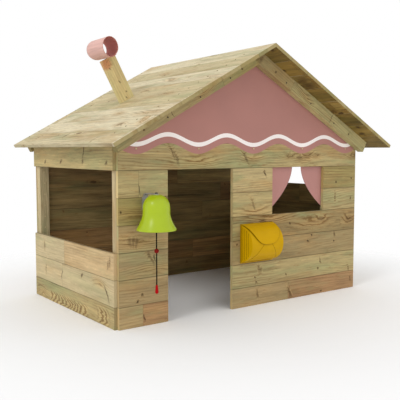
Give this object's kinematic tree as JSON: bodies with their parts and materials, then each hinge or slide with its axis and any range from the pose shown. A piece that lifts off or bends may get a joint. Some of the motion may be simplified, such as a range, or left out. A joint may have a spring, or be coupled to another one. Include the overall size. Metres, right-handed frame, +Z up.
{
  "type": "playhouse",
  "caption": "Wooden garden playhouse with an open doorway, counter and curtained window, a pitched board roof with a chimney, a wall bell with a pull cord and a letter box with a hinged flap.",
  "frame": {"origin": "on the ground, under the middle of the plan of the house, roof and bell", "axes": "+X along the front to the right as seen from the front, +Y from the front to the back, +Z up"},
  "size_m": [2.0346, 1.328, 1.5662],
  "materials": {
    "pine_board": "pressure-treated pine boards, planed, with knots and a green-brown tint",
    "pine_light": "pressure-treated pine boards, planed, paler where they face the light",
    "pine_timber": "pressure-treated pine posts and rafters, planed",
    "clapper_wood": "turned hardwood, oiled",
    "coated_sheet": "matt dusty pink coated tarpaulin sheet",
    "bell_plastic": "moulded lime green plastic, satin",
    "letter_box_plastic": "moulded yellow plastic, satin",
    "pull_plastic": "moulded red plastic",
    "cord": "dark braided cord",
    "bracket_steel": "grey powder-coated steel strip",
    "fastener_steel": "galvanised steel"
  },
  "bodies": {
    "house": {"post_front_left": "pine_timber", "post_front_right": "pine_timber", "post_back_left": "pine_timber", "post_back_right": "pine_timber", "post_back_middle": "pine_timber", "door_post_left": "pine_timber", "door_post_right": "pine_timber", "window_post_left": "pine_timber", "window_post_right": "pine_timber", "king_post": "pine_timber", "rafter_front_left": "pine_timber", "rafter_front_right": "pine_timber", "rafter_inner_left": "pine_timber", "rafter_inner_right": "pine_timber", "rafter_back_left": "pine_timber", "rafter_back_right": "pine_timber", "front_left_board_1": "pine_board", "front_left_board_2": "pine_board", "front_left_board_3": "pine_board", "front_left_board_4": "pine_board", "front_left_board_5": "pine_board", "front_left_board_6": "pine_board", "front_right_board_1": "pine_board", "front_right_board_2": "pine_board", "front_right_board_3": "pine_board", "front_right_board_4": "pine_board", "window_left_board_1": "pine_board", "window_left_board_2": "pine_board", "window_right_board_1": "pine_board", "window_right_board_2": "pine_board", "front_top_board": "pine_board", "left_board_1": "pine_light", "left_board_2": "pine_light", "left_board_3": "pine_light", "left_top_board": "pine_light", "right_boards": "pine_board", "back_boards": "pine_board", "roof_boards_left": "pine_light", "roof_boards_right": "pine_light", "gable_sheet": "coated_sheet", "curtain_left": "coated_sheet", "curtain_right": "coated_sheet", "chimney_board": "pine_light", "chimney_ring": "coated_sheet", "bell_bracket": "bracket_steel", "bell_body": "bell_plastic", "bell_bolt": "fastener_steel", "mailbox_body": "letter_box_plastic", "mailbox_hinge_pin": "fastener_steel", "frame_screws": "fastener_steel", "roof_screws": "fastener_steel", "sheet_screws": "fastener_steel", "fitting_screws": "fastener_steel"},
    "clapper": {"bell_clapper": "clapper_wood", "clapper_pin": "fastener_steel", "bell_pull_cord": "cord", "bell_bead": "pull_plastic", "bell_knob": "pull_plastic"},
    "letter_flap": {"mailbox_lid": "letter_box_plastic"}
  },
  "joints": [
    {"name": "clapper_swing", "type": "hinge", "parent": "house", "child": "clapper", "pos_m": [-0.73457, -0.563, 0.6735], "axis": [0, 1, 0], "range_deg": [-26, 26]},
    {"name": "letter_flap_hinge", "type": "hinge", "parent": "house", "child": "letter_flap", "pos_m": [0.026, -0.4685, 0.487], "axis": [-1, 0, 0], "range_deg": [0, 95]}
  ]
}
